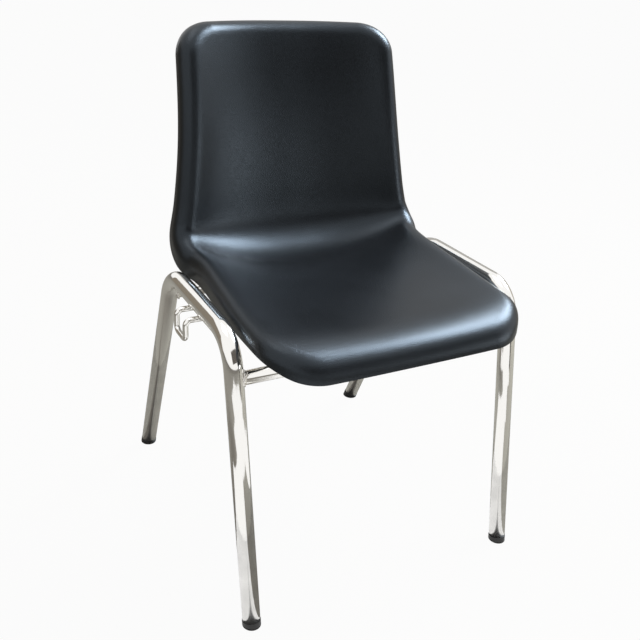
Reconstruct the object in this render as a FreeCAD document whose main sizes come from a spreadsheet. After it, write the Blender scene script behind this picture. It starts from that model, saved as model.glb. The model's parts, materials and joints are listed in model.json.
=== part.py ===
import FreeCAD, Part, Sketcher
import math
import os

# Choir chair: a one-piece moulded shell carried between two bent tube side frames.
# Millimetres, +Z up, origin on the floor between the side frames, front towards -Y.

DRIVING_SIZES = [
    ("tube_diameter", 25.4),
    ("tube_wall", 1.6),
    ("rail_half_span", 222.0),
    ("foot_half_span", 217.0),
    ("rail_height", 412.0),
    ("rear_bend_y", 61.0),
    ("front_bend_y", -168.0),
    ("rear_foot_y", 243.0),
    ("front_foot_y", -243.0),
    ("rear_bend_radius", 67.0),
    ("front_bend_radius", 51.0),
    ("cross_tube_diameter", 19.0),
    ("cross_tube_wall", 1.5),
    ("front_cross_drop", 54.0),
    ("rear_cross_drop", 40.0),
    ("shell_wall", 5.0),
    ("rim_radius", 20.0),
    ("front_skirt", 17.0),
    ("top_skirt", 6.0),
    ("front_corner_radius", 48.0),
    ("top_corner_radius", 26.0),
    ("seat_front_y", -264.0),
    ("seat_over_rail", 2.0),
    ("seat_slope", 1.5),
    ("back_recline", 6.0),
    ("back_flare", 9.0),
    ("back_foot_y", 122.0),
    ("crease_radius", 72.0),
    ("back_rise", 336.0),
    ("boss_diameter", 20.0),
    ("boss_half_span", 95.0),
    ("rib_thickness", 3.0),
    ("insert_diameter", 9.5),
    ("insert_length", 12.0),
    ("insert_relief", 6.0),
    ("screw_diameter", 6.0),
    ("screw_length", 16.0),
    ("screw_head_diameter", 11.5),
    ("screw_head_height", 3.4),
    ("screw_socket_diameter", 4.0),
    ("screw_socket_depth", 2.0),
    ("screw_hole_clearance", 0.3),
    ("washer_diameter", 17.0),
    ("washer_thickness", 1.6),
    ("tab_width", 34.0),
    ("tab_length", 40.0),
    ("tab_thickness", 4.0),
    ("glide_diameter", 26.4),
    ("glide_plug_depth", 22.0),
    ("glide_base_height", 7.5),
    ("hook_rod_diameter", 8.0),
    ("hook_rear_arm_y", -31.0),
    ("hook_arm_spacing", 36.0),
    ("hook_reach", 25.0),
    ("hook_drop", 29.0),
    ("hook_bend_radius", 8.0),
    ("fit_gap", 0.1),
]

# Sizes that follow from the driving ones
DERIVED_SIZES = [
    ("front_rake", "=(front_bend_y - front_foot_y) / rail_height"),
    ("rear_rake", "=(rear_foot_y - rear_bend_y) / rail_height"),
    ("frame_lean", "=(rail_half_span - foot_half_span) / rail_height"),
    ("front_cross_y", "=front_bend_y - front_rake * front_cross_drop"),
    ("front_cross_height", "=rail_height - front_cross_drop"),
    ("rear_cross_y", "=rear_bend_y + rear_rake * rear_cross_drop"),
    ("rear_cross_height", "=rail_height - rear_cross_drop"),
    ("front_tab_top", "=front_cross_height + cross_tube_diameter / 2 + tab_thickness"),
    ("rear_tab_top", "=rear_cross_height + cross_tube_diameter / 2 + tab_thickness"),
    ("front_boss_y", "=front_cross_y + tab_length / 2"),
    ("rear_boss_y", "=rear_cross_y - tab_length / 2"),
    ("tube_bore", "=tube_diameter - 2 * tube_wall"),
]

doc = FreeCAD.newDocument("choir_chair")
sheet = doc.addObject("Spreadsheet::Sheet", "Sizes")
for row, (alias, value) in enumerate(DRIVING_SIZES + DERIVED_SIZES, start=1):
    sheet.set("A%d" % row, alias)
    sheet.set("B%d" % row, str(value))
    sheet.setAlias("B%d" % row, alias)
doc.recompute()


def size(name):
    return float(sheet.get(name))


def vec(x, y, z):
    return FreeCAD.Vector(x, y, z)


# Modelling helpers: every expression names cells of the sheet above

def bind(item, bindings):
    for path, expression in bindings.items():
        item.setExpression(path, expression)
    return item


def at(x, y, z):
    return {"Placement.Base.x": x, "Placement.Base.y": y, "Placement.Base.z": z}


def cylinder(name, diameter, height, place, rotation=None):
    item = doc.addObject("Part::Cylinder", name)
    if rotation:
        item.Placement = FreeCAD.Placement(vec(0, 0, 0), rotation)
    bind(item, {"Radius": "(%s) / 2" % diameter, "Height": height})
    return bind(item, place)


def box(name, length, width, height, place):
    item = doc.addObject("Part::Box", name)
    bind(item, {"Length": length, "Width": width, "Height": height})
    return bind(item, place)


def cut(name, base, tool):
    item = doc.addObject("Part::Cut", name)
    item.Base = base
    item.Tool = tool
    return item


def fuse(name, shapes):
    item = doc.addObject("Part::MultiFuse", name)
    item.Shapes = shapes
    return item


def group(name, shapes):
    item = doc.addObject("Part::Compound", name)
    item.Links = shapes
    return item


def code_feature(name, shape):
    feature = doc.addObject("Part::Feature", name)
    feature.Shape = shape
    return feature


pieces = []


def piece(item, label):
    item.Label = label
    pieces.append(item)
    return item


# Side frames: one bent tube each, in a plane that leans in towards the floor

def bend_between(before, corner, after, radius):
    """Arc that rounds the corner, with the two points where it leaves the straight runs."""
    toward = (corner - before).normalize()
    away = (after - corner).normalize()
    turn = toward.getAngle(away)
    setback = radius * math.tan(turn / 2)
    centre = corner + (away - toward).normalize() * (radius / math.cos(turn / 2))
    start = corner - toward * setback
    end = corner + away * setback
    circle = Part.Circle(centre, vec(0, 0, 1), radius)
    return start, end, Part.ArcOfCircle(circle, circle.parameter(start), circle.parameter(end))


def frame_path_sketch(body, name):
    sketch = body.newObject("Sketcher::SketchObject", name)
    plane = next(item for item in body.Origin.OriginFeatures if item.Role == "YZ_Plane")
    sketch.AttachmentSupport = [(plane, "")]
    sketch.MapMode = "FlatFace"
    base = size("glide_base_height")
    rear_foot = vec(size("rear_foot_y") - size("rear_rake") * base, base, 0)
    rear_corner = vec(size("rear_bend_y"), size("rail_height"), 0)
    front_corner = vec(size("front_bend_y"), size("rail_height"), 0)
    front_foot = vec(size("front_foot_y") + size("front_rake") * base, base, 0)
    rear_start, rear_end, rear_arc = bend_between(rear_foot, rear_corner, front_corner,
                                                  size("rear_bend_radius"))
    front_start, front_end, front_arc = bend_between(rear_corner, front_corner, front_foot,
                                                     size("front_bend_radius"))
    rear_leg = sketch.addGeometry(Part.LineSegment(rear_foot, rear_start), False)
    rear_bend = sketch.addGeometry(rear_arc, False)
    rail = sketch.addGeometry(Part.LineSegment(rear_end, front_start), False)
    front_bend = sketch.addGeometry(front_arc, False)
    front_leg = sketch.addGeometry(Part.LineSegment(front_end, front_foot), False)
    rear_point = sketch.addGeometry(Part.Point(rear_corner), True)
    front_point = sketch.addGeometry(Part.Point(front_corner), True)
    for first, second in ((rear_leg, rear_bend), (rear_bend, rail), (rail, front_bend),
                          (front_bend, front_leg)):
        sketch.addConstraint(Sketcher.Constraint("Tangent", first, 2, second, 1))
    sketch.addConstraint(Sketcher.Constraint("Horizontal", rail))
    for point, leg in ((rear_point, rear_leg), (front_point, front_leg)):
        sketch.addConstraint(Sketcher.Constraint("PointOnObject", point, 1, leg))
        sketch.addConstraint(Sketcher.Constraint("PointOnObject", point, 1, rail))
    sized = [
        ("rear_radius", ("Radius", rear_bend), size("rear_bend_radius"), "Sizes.rear_bend_radius"),
        ("front_radius", ("Radius", front_bend), size("front_bend_radius"), "Sizes.front_bend_radius"),
        ("rear_corner_y", ("DistanceX", -1, 1, rear_point, 1), rear_corner.x, "Sizes.rear_bend_y"),
        ("rail_z", ("DistanceY", -1, 1, rear_point, 1), rear_corner.y, "Sizes.rail_height"),
        ("front_corner_y", ("DistanceX", -1, 1, front_point, 1), front_corner.x, "Sizes.front_bend_y"),
        ("rear_foot_y", ("DistanceX", -1, 1, rear_leg, 1), rear_foot.x,
         "Sizes.rear_foot_y - Sizes.rear_rake * Sizes.glide_base_height"),
        ("rear_foot_z", ("DistanceY", -1, 1, rear_leg, 1), base, "Sizes.glide_base_height"),
        ("front_foot_y", ("DistanceX", -1, 1, front_leg, 2), front_foot.x,
         "Sizes.front_foot_y + Sizes.front_rake * Sizes.glide_base_height"),
        ("front_foot_z", ("DistanceY", -1, 1, front_leg, 2), base, "Sizes.glide_base_height"),
    ]
    for constraint_name, parts, value, expression in sized:
        index = sketch.addConstraint(Sketcher.Constraint(*parts, value))
        sketch.renameConstraint(index, constraint_name)
        sketch.setExpression("Constraints." + constraint_name, expression)
    return sketch


def frame_bar(name, side, diameter):
    """A solid round bar along the side frame's path."""
    body = doc.addObject("PartDesign::Body", name)
    lean = math.degrees(math.atan(size("frame_lean")))
    body.Placement = FreeCAD.Placement(vec(0, 0, 0), FreeCAD.Rotation(vec(0, 1, 0), side * lean))
    bind(body, {"Placement.Base.x": "%d * Sizes.foot_half_span" % side})
    path = frame_path_sketch(body, name + "_path")
    doc.recompute()
    ring = body.newObject("Sketcher::SketchObject", name + "_section")
    ring.AttachmentSupport = [(path, "Edge1")]
    ring.MapMode = "NormalToEdge"
    ring.MapPathParameter = 0.0
    circle = ring.addGeometry(Part.Circle(vec(0, 0, 0), vec(0, 0, 1), size(diameter) / 2), False)
    ring.addConstraint(Sketcher.Constraint("Coincident", circle, 3, -1, 1))
    index = ring.addConstraint(Sketcher.Constraint("Diameter", circle, size(diameter)))
    ring.renameConstraint(index, "across")
    ring.setExpression("Constraints.across", "Sizes." + diameter)
    pipe = body.newObject("PartDesign::AdditivePipe", name + "_pipe")
    pipe.Profile = ring
    pipe.Spine = (path, ["Edge1", "Edge2", "Edge3", "Edge4", "Edge5"])
    doc.recompute()
    return body


SIDES = ((-1, "right"), (1, "left"))
side_bars = {}
for side, side_name in SIDES:
    side_bars[side] = frame_bar(side_name + "_bar", side, "tube_diameter")
    bore = frame_bar(side_name + "_bore", side, "tube_bore")
    piece(cut(side_name + "_frame", side_bars[side], bore), side_name + "_side_frame")


# Cross tubes, coped to the legs

both_bars = group("both_bars", list(side_bars.values()))
ALONG_X = FreeCAD.Rotation(vec(0, 1, 0), 90)
for row_name in ("front", "rear"):
    ends = at("-Sizes.rail_half_span", "Sizes.%s_cross_y" % row_name, "Sizes.%s_cross_height" % row_name)
    outer = cylinder(row_name + "_cross_outer", "Sizes.cross_tube_diameter", "2 * Sizes.rail_half_span",
                     ends, ALONG_X)
    inner = cylinder(row_name + "_cross_inner", "Sizes.cross_tube_diameter - 2 * Sizes.cross_tube_wall",
                     "2 * Sizes.rail_half_span", ends, ALONG_X)
    hollow = cut(row_name + "_cross_hollow", outer, inner)
    piece(cut(row_name + "_cross", hollow, both_bars), row_name + "_cross_tube")
doc.recompute()


# Moulded shell: a dished sheet with its whole rim rolled over and its four corners rounded

# Shares of the shell's length from its front edge, and the values at each of them: half width
# to the start of the roll, rise of the sides over the middle, and skirt below the roll
SHELL_SHARES = (0.0, 0.11, 0.22, 0.32, 0.42, 0.50, 0.56, 0.64, 0.76, 0.90, 1.0)
HALF_WIDTHS = (173.0, 179.0, 178.0, 172.0, 168.0, 180.0, 181.0, 170.0, 158.0, 151.0, 149.0)
SIDE_RISES = (2.0, 9.0, 16.0, 25.0, 34.0, 38.0, 36.0, 34.0, 34.0, 33.0, 31.0)
SIDE_SKIRTS = (10.0, 3.0, 0.5, 4.0, 12.0, 16.0, 12.0, 8.0, 6.0, 6.0, 6.0)
RISE_POWER = 2.5


def station_value(share, values):
    """Cubic blend of the values at the shell's stations, flat at both ends."""
    slopes = [0.0]
    for index in range(1, len(values) - 1):
        slopes.append((values[index + 1] - values[index - 1])
                      / (SHELL_SHARES[index + 1] - SHELL_SHARES[index - 1]))
    slopes.append(0.0)
    index = 0
    while index < len(values) - 2 and share > SHELL_SHARES[index + 1]:
        index += 1
    span = SHELL_SHARES[index + 1] - SHELL_SHARES[index]
    part = (share - SHELL_SHARES[index]) / span
    return ((2 * part ** 3 - 3 * part ** 2 + 1) * values[index]
            + (part ** 3 - 2 * part ** 2 + part) * span * slopes[index]
            + (3 * part ** 2 - 2 * part ** 3) * values[index + 1]
            + (part ** 3 - part ** 2) * span * slopes[index + 1])


QUARTER = math.pi / 2
FOLD = size("rim_radius")
SLOPE = math.radians(size("seat_slope"))
RECLINE = math.radians(size("back_recline"))
FLARE = math.radians(size("back_flare"))


def middle_runs():
    """The middle line between the front and top rolls: lengths and turns of its three runs."""
    crease = size("crease_radius")
    seat_length = size("back_foot_y") - size("seat_front_y") - FOLD - crease
    crease_rise = crease * (math.cos(SLOPE) - math.sin(RECLINE)) - seat_length * math.sin(SLOPE)
    top_rise = FOLD * (1 - math.sin(RECLINE + FLARE))
    upright = size("back_rise") - crease_rise - top_rise
    crease_turn = QUARTER - RECLINE + SLOPE
    return [
        (seat_length, 0.0),
        (crease * crease_turn, crease_turn),
        (upright / math.cos(RECLINE + FLARE / 2), -FLARE),
    ]


MIDDLE_RUNS = middle_runs()
FRONT_START = size("front_skirt") + FOLD * (QUARTER + SLOPE)
TOP_START = FRONT_START + sum(length for length, turn in MIDDLE_RUNS)
SHELL_LENGTH = TOP_START + FOLD * QUARTER + size("top_skirt")


def middle_line(distance):
    """Depth, height and heading of the middle line, at a distance from the shell's front edge."""
    y = size("seat_front_y") + FOLD
    z = size("rail_height") + size("seat_over_rail")
    heading = -SLOPE
    rest = distance - FRONT_START
    for length, turn in MIDDLE_RUNS:
        step = min(rest, length)
        bend = turn * step / length
        if abs(bend) < 1e-9:
            y += step * math.cos(heading)
            z += step * math.sin(heading)
        else:
            radius = step / bend
            y += radius * (math.sin(heading + bend) - math.sin(heading))
            z -= radius * (math.cos(heading + bend) - math.cos(heading))
        heading += bend
        rest -= step
        if rest <= 0:
            break
    return y, z, heading


def dished_point(distance, across):
    """A point inside the rolls. The raised sides stand up on the seat and forward on the back."""
    share = distance / SHELL_LENGTH
    y, z, heading = middle_line(distance)
    lift = station_value(share, SIDE_RISES) * (abs(across) / station_value(share, HALF_WIDTHS)) ** RISE_POWER
    crease_part = (distance - FRONT_START - MIDDLE_RUNS[0][0]) / MIDDLE_RUNS[1][0]
    dish = QUARTER * min(max(crease_part, 0.0), 1.0)
    return vec(across, y - lift * math.sin(dish), z + lift * math.cos(dish)), heading


def rim_foot(distance, across):
    """The nearest place where the roll starts, as (distance, across), how far the point is past
    it, and the shares of the way out that run along the shell and across it."""
    reach = abs(across)
    for radius, inset, outward in ((size("front_corner_radius"), distance - FRONT_START, -1),
                                   (size("top_corner_radius"), TOP_START - distance, 1)):
        edge = distance + outward * inset
        centre = edge - outward * radius
        if inset < radius:
            width = station_value(min(max(distance, FRONT_START), TOP_START) / SHELL_LENGTH, HALF_WIDTHS)
            centre_across = width - radius
            if reach > centre_across:
                along = radius - inset
                over = reach - centre_across
                length = math.hypot(along, over)
                foot = centre + outward * radius * along / length
                foot_across = centre_across + radius * over / length
                return foot, foot_across, length - radius, outward * along / length, over / length
            if inset < 0 and inset <= width - reach:
                return edge, reach, -inset, outward, 0.0
    width = station_value(distance / SHELL_LENGTH, HALF_WIDTHS)
    return distance, width, reach - width, 0.0, 1.0


def roll_tilt(distance, along, over):
    """How far the sheet points above level where the roll starts."""
    share = distance / SHELL_LENGTH
    side = math.atan(RISE_POWER * station_value(share, SIDE_RISES) / station_value(share, HALF_WIDTHS))
    return side * over ** 2 + (SLOPE if along < 0 else 0.0) * along ** 2


def rim_skirt(distance, along, over):
    side = station_value(distance / SHELL_LENGTH, SIDE_SKIRTS)
    end = size("front_skirt") if along < 0 else size("top_skirt")
    return side * over ** 2 + end * along ** 2


def shell_point(distance, across):
    """A point of the upper face of the unrolled sheet, carried to its place on the shell."""
    foot, foot_across, beyond, along, over = rim_foot(distance, across)
    if beyond <= 0:
        return dished_point(distance, across)[0]
    tilt = roll_tilt(foot, along, over)
    place, heading = dished_point(foot, foot_across)
    angle = min(beyond / FOLD - tilt, QUARTER)
    straight = beyond - FOLD * (angle + tilt)
    out = FOLD * (math.sin(angle) + math.sin(tilt))
    down = FOLD * (math.cos(tilt) - math.cos(angle)) + straight
    x = place.x + out * over
    y = place.y + out * along * math.cos(heading) + down * math.sin(heading)
    z = place.z + out * along * math.sin(heading) - down * math.cos(heading)
    return vec(math.copysign(x, across), y, z)


def shell_normal(distance, across):
    """Unit normal of the upper face, away from the wall."""
    step = 0.5
    low = min(max(distance - step, 0.0), SHELL_LENGTH - 2 * step)
    along = shell_point(low + 2 * step, across) - shell_point(low, across)
    over = shell_point(distance, across + step) - shell_point(distance, across - step)
    return over.cross(along).normalize()


def half_outline(distance):
    """Half of the unrolled sheet's width, found where the roll and its skirt end."""
    low = 0.0
    high = 2 * size("rail_half_span")
    for _ in range(50):
        middle = (low + high) / 2
        foot, foot_across, beyond, along, over = rim_foot(distance, middle)
        end = FOLD * (QUARTER + roll_tilt(foot, along, over)) + rim_skirt(foot, along, over)
        if beyond < end:
            low = middle
        else:
            high = middle
    return low


def shell_rows():
    """Distances of the grid's rows: even steps of angle in the corners, even steps between."""
    corner_rows = 9
    middle_rows = 30
    front = FRONT_START + size("front_corner_radius")
    top = SHELL_LENGTH - TOP_START + size("top_corner_radius")
    rows = []
    for index in range(corner_rows):
        rows.append(front * (1 - math.cos(QUARTER * index / corner_rows)))
    for index in range(middle_rows + 1):
        rows.append(front + (SHELL_LENGTH - front - top) * index / middle_rows)
    for index in range(corner_rows - 1, -1, -1):
        rows.append(SHELL_LENGTH - top * (1 - math.cos(QUARTER * index / corner_rows)))
    margin = 0.01
    return [min(max(row, margin), SHELL_LENGTH - margin) for row in rows]


# Columns as shares of the half width, closer together over the side rolls
HALF_COLUMNS = (0.0, 0.2, 0.4, 0.55, 0.66, 0.74, 0.8, 0.85, 0.89, 0.93, 0.97, 1.0)


def shell_sheet():
    """The rolled sheet as a closed solid with an even wall."""
    columns = [-share for share in reversed(HALF_COLUMNS[1:])] + list(HALF_COLUMNS)
    wall = size("shell_wall")
    upper = []
    lower = []
    for distance in shell_rows():
        half = half_outline(distance)
        upper_row = [shell_point(distance, share * half) for share in columns]
        lower_row = [point - shell_normal(distance, share * half) * wall
                     for point, share in zip(upper_row, columns)]
        upper.append(upper_row)
        lower.append(lower_row)
    faces = []
    for grid in (upper, lower):
        surface = Part.BSplineSurface()
        surface.interpolate(grid)
        faces.append(surface.toShape())
    for upper_edge in faces[0].Edges:
        middle = upper_edge.valueAt((upper_edge.FirstParameter + upper_edge.LastParameter) / 2)
        lower_edge = min(faces[1].Edges, key=lambda edge: edge.valueAt(
            (edge.FirstParameter + edge.LastParameter) / 2).distanceToPoint(middle))
        faces.append(Part.makeRuledSurface(upper_edge, lower_edge))
    shell = Part.makeShell(faces)
    shell.sewShape()
    solid = Part.makeSolid(shell)
    if solid.Volume < 0:
        solid.reverse()
    return solid


def shell_height(x, y):
    """Height of the middle of the wall over a place on the seat."""
    low = FRONT_START
    high = FRONT_START + MIDDLE_RUNS[0][0] + MIDDLE_RUNS[1][0] / 2
    for _ in range(40):
        middle = (low + high) / 2
        if shell_point(middle, x).y < y:
            low = middle
        else:
            high = middle
    return shell_point(low, x).z - size("shell_wall") / 2


# Bosses under the shell, each with four ribs, and the bores that take the inserts

shell_parts = [code_feature("rolled_sheet", shell_sheet())]
boss_bores = []
boss_places = []
RIB_SHARE = 0.8
for row_name in ("front", "rear"):
    for side, side_name in SIDES:
        name = row_name + "_" + side_name
        x = "%d * Sizes.boss_half_span" % side
        y = "Sizes.%s_boss_y" % row_name
        tab_top = "Sizes.%s_tab_top" % row_name
        boss_places.append((name, side, row_name, x, y, tab_top))
        roof = shell_height(side * size("boss_half_span"), size(row_name + "_boss_y"))
        height = roof - size(row_name + "_tab_top")
        boss = cylinder(name + "_boss", "Sizes.boss_diameter", "%.6f" % height, at(x, y, tab_top))
        shell_parts.append(boss)
        for turn in range(4):
            reach = size("boss_diameter")
            half = size("rib_thickness") / 2
            low = vec(0, -half, -height * RIB_SHARE)
            outline = Part.makePolygon([low, vec(0, -half, 0), vec(reach, -half, 0), low])
            rib = code_feature("%s_rib_%d" % (name, turn), Part.Face(outline).extrude(vec(0, 2 * half, 0)))
            rib.Placement = FreeCAD.Placement(vec(0, 0, roof), FreeCAD.Rotation(vec(0, 0, 1), 90 * turn))
            bind(rib, {"Placement.Base.x": x, "Placement.Base.y": y})
            shell_parts.append(rib)
        boss_bores.append(cylinder(name + "_bore", "Sizes.insert_diameter",
                                   "Sizes.insert_length + Sizes.insert_relief", at(x, y, tab_top)))
piece(cut("shell", fuse("shell_solid", shell_parts), group("boss_bores", boss_bores)), "seat_shell")


# Mounting tabs on the cross tubes, and the screws, washers and inserts that hold the shell

SCREW_HOLE = "Sizes.screw_diameter + 2 * Sizes.screw_hole_clearance"
WASHER_HOLE = "Sizes.screw_diameter + 2 * Sizes.fit_gap"
screws = []
washers = []
inserts = []
for name, side, row_name, x, y, tab_top in boss_places:
    under = tab_top + " - Sizes.tab_thickness"
    overlap = "Sizes.cross_tube_diameter / 4"
    start = "Sizes.%s_cross_y - %s" % (row_name, overlap)
    if row_name == "rear":
        start = y
    plate = box(name + "_plate", "Sizes.tab_width", "Sizes.tab_length / 2 + " + overlap, "Sizes.tab_thickness",
                at(x + " - Sizes.tab_width / 2", start, under))
    tab_end = cylinder(name + "_tab_end", "Sizes.tab_width", "Sizes.tab_thickness", at(x, y, under))
    hole = cylinder(name + "_tab_hole", SCREW_HOLE, "Sizes.tab_thickness", at(x, y, under))
    piece(cut(name + "_tab", fuse(name + "_tab_blank", [plate, tab_end]), hole), name + "_mounting_tab")

    washer_under = under + " - Sizes.washer_thickness"
    washer_place = at(x, y, washer_under)
    disc = cylinder(name + "_washer_disc", "Sizes.washer_diameter", "Sizes.washer_thickness", washer_place)
    eye = cylinder(name + "_washer_eye", WASHER_HOLE, "Sizes.washer_thickness", washer_place)
    washers.append(cut(name + "_washer", disc, eye))

    head_place = at(x, y, washer_under + " - Sizes.screw_head_height")
    head = cylinder(name + "_head", "Sizes.screw_head_diameter", "Sizes.screw_head_height", head_place)
    shank = cylinder(name + "_shank", "Sizes.screw_diameter", "Sizes.screw_length", washer_place)
    socket = cylinder(name + "_socket", "Sizes.screw_socket_diameter", "Sizes.screw_socket_depth", head_place)
    screws.append(cut(name + "_screw", fuse(name + "_screw_blank", [head, shank]), socket))

    sleeve = cylinder(name + "_sleeve", "Sizes.insert_diameter", "Sizes.insert_length", at(x, y, tab_top))
    thread = cylinder(name + "_thread", "Sizes.screw_diameter", "Sizes.insert_length", at(x, y, tab_top))
    inserts.append(cut(name + "_insert", sleeve, thread))
piece(group("screws", screws), "seat_screws")
piece(group("washers", washers), "seat_screw_washers")
piece(group("inserts", inserts), "boss_inserts")


# Glides: moulded plugs in the open leg ends, cut level with the floor

floor_block = box("below_floor", "4 * Sizes.rail_half_span", "4 * Sizes.rear_foot_y", "Sizes.rail_height",
                  at("-2 * Sizes.rail_half_span", "-2 * Sizes.rear_foot_y", "-Sizes.rail_height"))
CAP_STRETCH = 1.6
for side, side_name in SIDES:
    for row_name, forward in (("rear", -1), ("front", 1)):
        name = "%s_%s" % (row_name, side_name)
        axis = vec(side * size("frame_lean"), forward * size(row_name + "_rake"), 1)
        turn = FreeCAD.Rotation(vec(0, 0, 1), axis)
        length = axis.Length
        span = "%d * (Sizes.foot_half_span + Sizes.frame_lean * Sizes.glide_base_height" % side
        foot_y = "Sizes.%s_foot_y + %d * Sizes.%s_rake * Sizes.glide_base_height" % (row_name, forward, row_name)
        plug = cylinder(name + "_plug", "Sizes.tube_bore - 2 * Sizes.fit_gap", "Sizes.glide_plug_depth",
                        at(span + ")", foot_y, "Sizes.glide_base_height"), turn)
        rise = "(%.6f) * Sizes.glide_base_height" % CAP_STRETCH
        low = "(%.6f - 1) * Sizes.glide_base_height" % CAP_STRETCH
        cap = cylinder(name + "_cap", "Sizes.glide_diameter", "%.6f * %s" % (length, rise),
                       at("%s - Sizes.frame_lean * %s)" % (span, rise),
                          "%s - %d * Sizes.%s_rake * %s" % (foot_y, forward, row_name, rise),
                          "-(%s)" % low), turn)
        piece(cut(name + "_foot", fuse(name + "_foot_blank", [cap, plug]), floor_block), name + "_glide")


# Ganging hook: a bent rod welded under the right rail, which links into the next chair

def bent_rod(points, radius, diameter):
    """A round rod along straight runs through the points, joined by tangent arcs."""
    edges = []
    start = points[0]
    for corner, after in zip(points[1:-1], points[2:]):
        toward = (corner - start).normalize()
        away = (after - corner).normalize()
        turn = toward.getAngle(away)
        setback = radius * math.tan(turn / 2)
        bulge = radius * (1 / math.cos(turn / 2) - 1)
        arc_start = corner - toward * setback
        arc_end = corner + away * setback
        arc_middle = corner + (away - toward).normalize() * bulge
        edges.append(Part.LineSegment(start, arc_start).toShape())
        edges.append(Part.Arc(arc_start, arc_middle, arc_end).toShape())
        start = arc_end
    edges.append(Part.LineSegment(start, points[-1]).toShape())
    section = Part.Wire([Part.Circle(points[0], points[1] - points[0], diameter / 2).toShape()])
    return Part.Wire(edges).makePipeShell([section], True, True)


hook_top = size("rail_height") - size("tube_diameter") / 2 - size("hook_rod_diameter") / 2
hook_bottom = hook_top - size("hook_drop")
hook_outer_x = -size("rail_half_span") - size("hook_reach")
hook_rear_y = size("hook_rear_arm_y")
hook_front_y = hook_rear_y - size("hook_arm_spacing")
hook_rod = code_feature("hook_rod", bent_rod([
    vec(-size("rail_half_span"), hook_rear_y, hook_top),
    vec(hook_outer_x, hook_rear_y, hook_top),
    vec(hook_outer_x, hook_rear_y, hook_bottom),
    vec(hook_outer_x, hook_front_y, hook_bottom),
    vec(hook_outer_x, hook_front_y, hook_top),
    vec(-size("rail_half_span"), hook_front_y, hook_top),
], size("hook_bend_radius"), size("hook_rod_diameter")))
piece(cut("hook", hook_rod, side_bars[-1]), "ganging_hook")


# Checks and export

doc.recompute()
for item in doc.Objects:
    if "Invalid" in item.State or "Error" in item.State:
        raise RuntimeError(item.Name + " did not build")
os.makedirs("parts", exist_ok=True)
for item in pieces:
    if item.Shape.isNull() or not item.Shape.isValid():
        raise RuntimeError(item.Label + " is not a valid shape")
    item.Shape.exportStep(os.path.join("parts", item.Label + ".step"))
    print(item.Label, round(item.Shape.Volume), len(item.Shape.Solids))
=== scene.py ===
import json
import math

import bmesh
import bpy
import numpy
from mathutils import Matrix, Vector


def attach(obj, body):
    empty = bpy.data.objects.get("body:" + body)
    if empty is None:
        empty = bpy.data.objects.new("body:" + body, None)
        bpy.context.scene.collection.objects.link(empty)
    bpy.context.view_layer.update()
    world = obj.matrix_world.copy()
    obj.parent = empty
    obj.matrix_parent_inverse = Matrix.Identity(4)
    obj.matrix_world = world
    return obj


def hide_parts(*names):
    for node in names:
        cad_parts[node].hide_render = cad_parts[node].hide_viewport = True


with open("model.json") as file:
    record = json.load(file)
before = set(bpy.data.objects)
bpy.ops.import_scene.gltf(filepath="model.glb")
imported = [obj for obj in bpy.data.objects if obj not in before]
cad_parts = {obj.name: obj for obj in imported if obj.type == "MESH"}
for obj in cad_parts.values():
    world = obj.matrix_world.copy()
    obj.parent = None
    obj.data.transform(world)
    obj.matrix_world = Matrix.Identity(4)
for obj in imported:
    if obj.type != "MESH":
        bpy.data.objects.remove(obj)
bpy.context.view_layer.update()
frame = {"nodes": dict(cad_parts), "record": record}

# Choir chair: looks for the moulded shell and the chromed tube frame.
# Metres, +Z up, origin on the floor, the sitter faces -Y.

# Sizes of the tube frame

TUBE_RADIUS = 0.0127
CROSS_RADIUS = 0.0095
RAIL_HALF_SPAN = 0.222
FOOT_HALF_SPAN = 0.217
RAIL_HEIGHT = 0.412
REAR_BEND_Y = 0.061
FRONT_BEND_Y = -0.168
REAR_FOOT_Y = 0.243
FRONT_FOOT_Y = -0.243
REAR_BEND_RADIUS = 0.067
FRONT_BEND_RADIUS = 0.051
FRONT_CROSS_HEIGHT = 0.358
REAR_CROSS_HEIGHT = 0.372
GLIDE_BASE_HEIGHT = 0.0075
FRAME_ARC_STEPS = 28
FRAME_SIDES = 64
CROSS_SIDES = 48

# Sizes of the ganging hook

HOOK_ROD_RADIUS = 0.004
HOOK_REAR_ARM_Y = -0.031
HOOK_ARM_SPACING = 0.036
HOOK_REACH = 0.025
HOOK_DROP = 0.029
HOOK_BEND_RADIUS = 0.008
HOOK_ARC_STEPS = 12
HOOK_SIDES = 24

# Sizes of the moulded shell

SHELL_WALL = 0.005
RIM_RADIUS = 0.020
FRONT_SKIRT = 0.017
TOP_SKIRT = 0.006
FRONT_CORNER_RADIUS = 0.048
TOP_CORNER_RADIUS = 0.026
SEAT_FRONT_Y = -0.264
SEAT_HEIGHT = 0.414
SEAT_SLOPE = math.radians(1.5)
BACK_RECLINE = math.radians(6.0)
BACK_FLARE = math.radians(9.0)
BACK_FOOT_Y = 0.122
CREASE_RADIUS = 0.072
BACK_RISE = 0.336

# Shares of the shell's length from its front edge, and the values at each of them: half width
# to the start of the roll, rise of the sides over the middle, and skirt below the roll
SHELL_SHARES = (0.0, 0.11, 0.22, 0.32, 0.42, 0.50, 0.56, 0.64, 0.76, 0.90, 1.0)
HALF_WIDTHS = (0.173, 0.179, 0.178, 0.172, 0.168, 0.180, 0.181, 0.170, 0.158, 0.151, 0.149)
SIDE_RISES = (0.002, 0.009, 0.016, 0.025, 0.034, 0.038, 0.036, 0.034, 0.034, 0.033, 0.031)
SIDE_SKIRTS = (0.010, 0.004, 0.007, 0.014, 0.019, 0.019, 0.013, 0.008, 0.006, 0.006, 0.006)
RISE_POWER = 2.5

# Cells of the sheet: columns on half of it and inside half of the roll, rows in each end and between
FLAT_COLUMNS = 44
ROLL_COLUMNS = 22
END_ROWS = 54
MIDDLE_ROWS = 120
RIM_EDGE_ROUND = 0.0018

# Halvings of a search for a place on the sheet
OUTLINE_HALVINGS = 50
UNDERSIDE_HALVINGS = 40

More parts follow.
